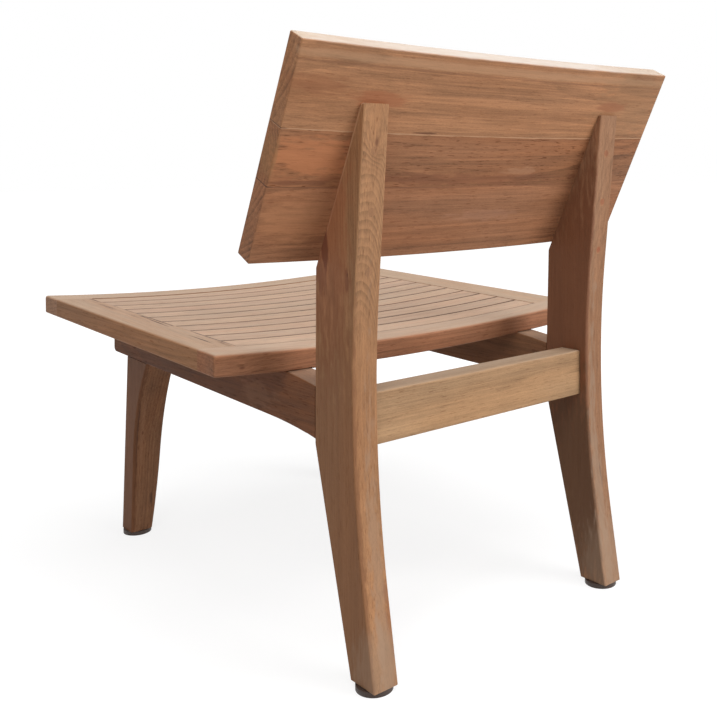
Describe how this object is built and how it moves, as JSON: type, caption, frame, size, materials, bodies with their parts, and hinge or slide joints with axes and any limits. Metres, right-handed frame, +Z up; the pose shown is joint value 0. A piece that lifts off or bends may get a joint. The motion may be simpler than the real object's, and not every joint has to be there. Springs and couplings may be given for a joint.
{
  "type": "slatted lounge chair",
  "caption": "Low wooden lounge chair with a dished slatted seat, a bowed leaning backrest and bent rear legs.",
  "frame": {"origin": "on the floor, at the centre of the chair's footprint box, midway between the two sides", "axes": "+Z up, +Y towards the backrest (behind the sitter), +X towards the sitter's left"},
  "size_m": [0.614, 0.7151, 0.7036],
  "materials": {
    "teak_frame": "sanded, oiled",
    "teak_back": "sanded, oiled",
    "teak_seat": "sanded, dry",
    "glide": "matt",
    "screw_steel": "zinc plated"
  },
  "bodies": {
    "root": {"rear_leg_left": "teak_frame", "front_leg_left": "teak_frame", "side_rail_left": "teak_frame", "rear_leg_right": "teak_frame", "front_leg_right": "teak_frame", "side_rail_right": "teak_frame", "rear_rail": "teak_frame", "front_rail": "teak_frame", "backrest_board_lower": "teak_back", "backrest_board_middle": "teak_back", "backrest_board_upper": "teak_back", "seat_front_member": "teak_seat", "seat_rear_member": "teak_seat", "seat_side_member_left": "teak_seat", "seat_side_member_right": "teak_seat", "seat_slat_01": "teak_seat", "seat_slat_02": "teak_seat", "seat_slat_03": "teak_seat", "seat_slat_04": "teak_seat", "seat_slat_05": "teak_seat", "seat_slat_06": "teak_seat", "seat_slat_07": "teak_seat", "seat_slat_08": "teak_seat", "seat_slat_09": "teak_seat", "seat_slat_10": "teak_seat", "seat_slat_11": "teak_seat", "glide_front_left": "glide", "glide_front_right": "glide", "glide_rear_left": "glide", "glide_rear_right": "glide", "glide_nails": "screw_steel", "backrest_screws": "screw_steel", "backrest_plugs": "teak_frame", "seat_screws": "screw_steel"}
  },
  "joints": []
}
